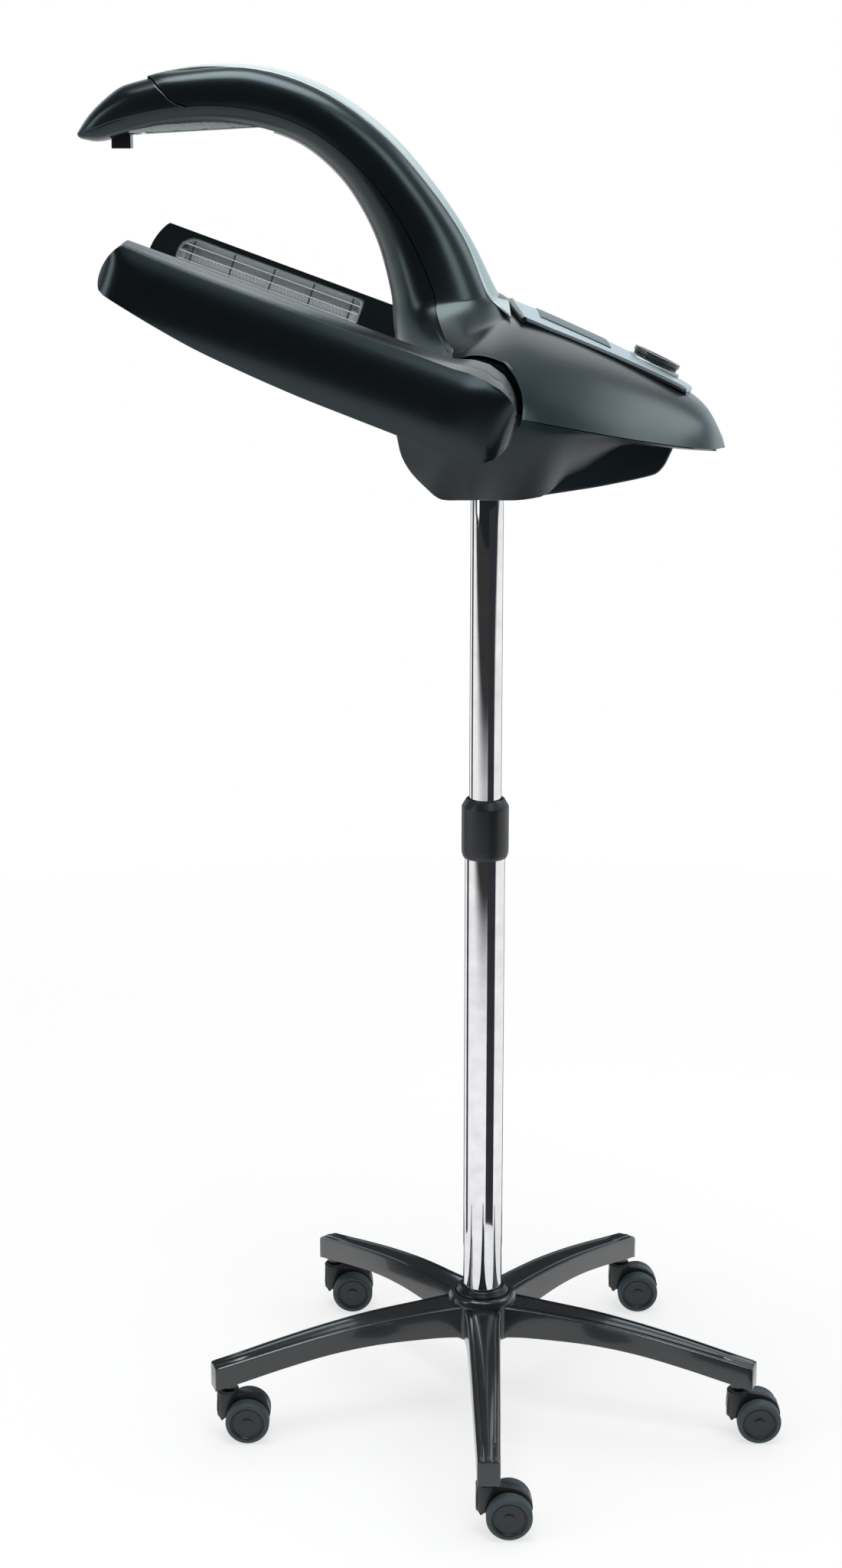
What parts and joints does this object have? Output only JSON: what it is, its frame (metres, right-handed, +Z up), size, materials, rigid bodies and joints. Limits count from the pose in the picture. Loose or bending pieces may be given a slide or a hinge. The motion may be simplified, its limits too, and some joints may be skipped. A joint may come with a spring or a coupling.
{
  "type": "hair color processor",
  "caption": "Infrared hair color processor: a curved lamp arch and two tilting lamp arms on a telescopic pole with a rolling star base.",
  "frame": {"origin": "on the floor, under the axis of the pole", "axes": "+X to the operator's side, where the control panel is; -X to the client's side, where the arch and the arms reach; +Y across, to the client's right; +Z up"},
  "size_m": [0.771, 0.6131, 1.5231],
  "materials": {
    "base_black": "gloss black paint on a casting",
    "black_plastic": "matt moulded",
    "castor_black": "matt moulded nylon",
    "chrome": "polished chrome plate",
    "steel": "zinc plated",
    "nylon": "natural nylon",
    "tread": "soft grey tread",
    "satin_black": "satin moulded black",
    "silver": "satin silver lacquer",
    "display_glass": "smoked acrylic",
    "board_green": "printed circuit board",
    "knob_black": "fine knurled black",
    "aluminium": "as cast and extruded",
    "reflector": "bright hammered sheet",
    "quartz": "clear quartz tube",
    "ceramic_white": "steatite end holders",
    "guard_wire": "bright plated wire"
  },
  "bodies": {
    "base": {"star_base": "base_black", "castor_sockets": "black_plastic", "base_ring": "black_plastic", "lower_tube": "chrome", "tube_plug": "steel", "tube_bolt": "steel", "pole_collet": "nylon"},
    "collar": {"height_collar": "black_plastic"},
    "mast": {"upper_tube": "chrome", "mast_foot_bush": "black_plastic"},
    "head": {"mast_socket": "aluminium", "socket_bolts": "steel", "chassis_plate": "steel", "upper_shell": "satin_black", "under_shell": "satin_black", "nose_cap": "satin_black", "top_strip": "silver", "lower_housing": "satin_black", "panel_surround": "silver", "display_window": "display_glass", "knob_bezel": "chrome", "knob_encoder": "black_plastic", "control_board": "board_green", "arc_spine": "aluminium", "sensor_box": "black_plastic", "sensor_lens": "display_glass", "mains_inlet": "black_plastic", "top_reflector": "reflector", "top_lamp": "quartz", "top_lamp_holders": "ceramic_white", "top_guard": "guard_wire", "arm_pivots": "steel"},
    "knob": {"control_knob": "knob_black"},
    "arm_left": {"arm_inner_left": "satin_black", "arm_outer_left": "satin_black", "arm_reflector_left": "reflector", "arm_lamp_left": "quartz", "arm_lamp_holders_left": "ceramic_white", "arm_guard_left": "guard_wire"},
    "arm_right": {"arm_inner_right": "satin_black", "arm_outer_right": "satin_black", "arm_reflector_right": "reflector", "arm_lamp_right": "quartz", "arm_lamp_holders_right": "ceramic_white", "arm_guard_right": "guard_wire"},
    "castor_1": {"castor_hood_1": "castor_black"},
    "wheels_1": {"castor_wheels_1": "castor_black", "castor_tyres_1": "tread"},
    "castor_2": {"castor_hood_2": "castor_black"},
    "wheels_2": {"castor_wheels_2": "castor_black", "castor_tyres_2": "tread"},
    "castor_3": {"castor_hood_3": "castor_black"},
    "wheels_3": {"castor_wheels_3": "castor_black", "castor_tyres_3": "tread"},
    "castor_4": {"castor_hood_4": "castor_black"},
    "wheels_4": {"castor_wheels_4": "castor_black", "castor_tyres_4": "tread"},
    "castor_5": {"castor_hood_5": "castor_black"},
    "wheels_5": {"castor_wheels_5": "castor_black", "castor_tyres_5": "tread"}
  },
  "joints": [
    {"name": "collar_twist", "type": "hinge", "parent": "base", "child": "collar", "pos_m": [0, 0, 0.697], "axis": [0, 0, 1], "range_deg": [0, 90]},
    {"name": "mast_slide", "type": "slide", "parent": "base", "child": "mast", "axis": [0, 0, 1], "range_m": [-0.3, 0.15]},
    {"name": "head_swivel", "type": "hinge", "parent": "mast", "child": "head", "pos_m": [0, 0, 1.13], "axis": [0, 0, 1], "range_deg": [-170, 170]},
    {"name": "knob_turn", "type": "hinge", "parent": "head", "child": "knob", "pos_m": [0.178, 0, 1.212], "axis": [0.4289, 0, 0.9033], "continuous": true},
    {"name": "arm_left_tilt", "type": "hinge", "parent": "head", "child": "arm_left", "pos_m": [-0.024, -0.225, 1.189], "axis": [0, 1, 0], "range_deg": [-30, 25]},
    {"name": "arm_right_tilt", "type": "hinge", "parent": "head", "child": "arm_right", "pos_m": [-0.024, 0.225, 1.189], "axis": [0, 1, 0], "range_deg": [-30, 25]},
    {"name": "castor_1_swivel", "type": "hinge", "parent": "base", "child": "castor_1", "pos_m": [0, -0.307, 0.05], "axis": [0, 0, 1], "continuous": true},
    {"name": "wheels_1_roll", "type": "hinge", "parent": "castor_1", "child": "wheels_1", "pos_m": [0.022, -0.307, 0.025], "axis": [0, 1, 0], "continuous": true},
    {"name": "castor_2_swivel", "type": "hinge", "parent": "base", "child": "castor_2", "pos_m": [0.29197, -0.09487, 0.05], "axis": [0, 0, 1], "continuous": true},
    {"name": "wheels_2_roll", "type": "hinge", "parent": "castor_2", "child": "wheels_2", "pos_m": [0.31397, -0.09487, 0.025], "axis": [0, 1, 0], "continuous": true},
    {"name": "castor_3_swivel", "type": "hinge", "parent": "base", "child": "castor_3", "pos_m": [0.18045, 0.24837, 0.05], "axis": [0, 0, 1], "continuous": true},
    {"name": "wheels_3_roll", "type": "hinge", "parent": "castor_3", "child": "wheels_3", "pos_m": [0.20245, 0.24837, 0.025], "axis": [0, 1, 0], "continuous": true},
    {"name": "castor_4_swivel", "type": "hinge", "parent": "base", "child": "castor_4", "pos_m": [-0.18045, 0.24837, 0.05], "axis": [0, 0, 1], "continuous": true},
    {"name": "wheels_4_roll", "type": "hinge", "parent": "castor_4", "child": "wheels_4", "pos_m": [-0.15845, 0.24837, 0.025], "axis": [0, 1, 0], "continuous": true},
    {"name": "castor_5_swivel", "type": "hinge", "parent": "base", "child": "castor_5", "pos_m": [-0.29197, -0.09487, 0.05], "axis": [0, 0, 1], "continuous": true},
    {"name": "wheels_5_roll", "type": "hinge", "parent": "castor_5", "child": "wheels_5", "pos_m": [-0.26997, -0.09487, 0.025], "axis": [0, 1, 0], "continuous": true}
  ]
}
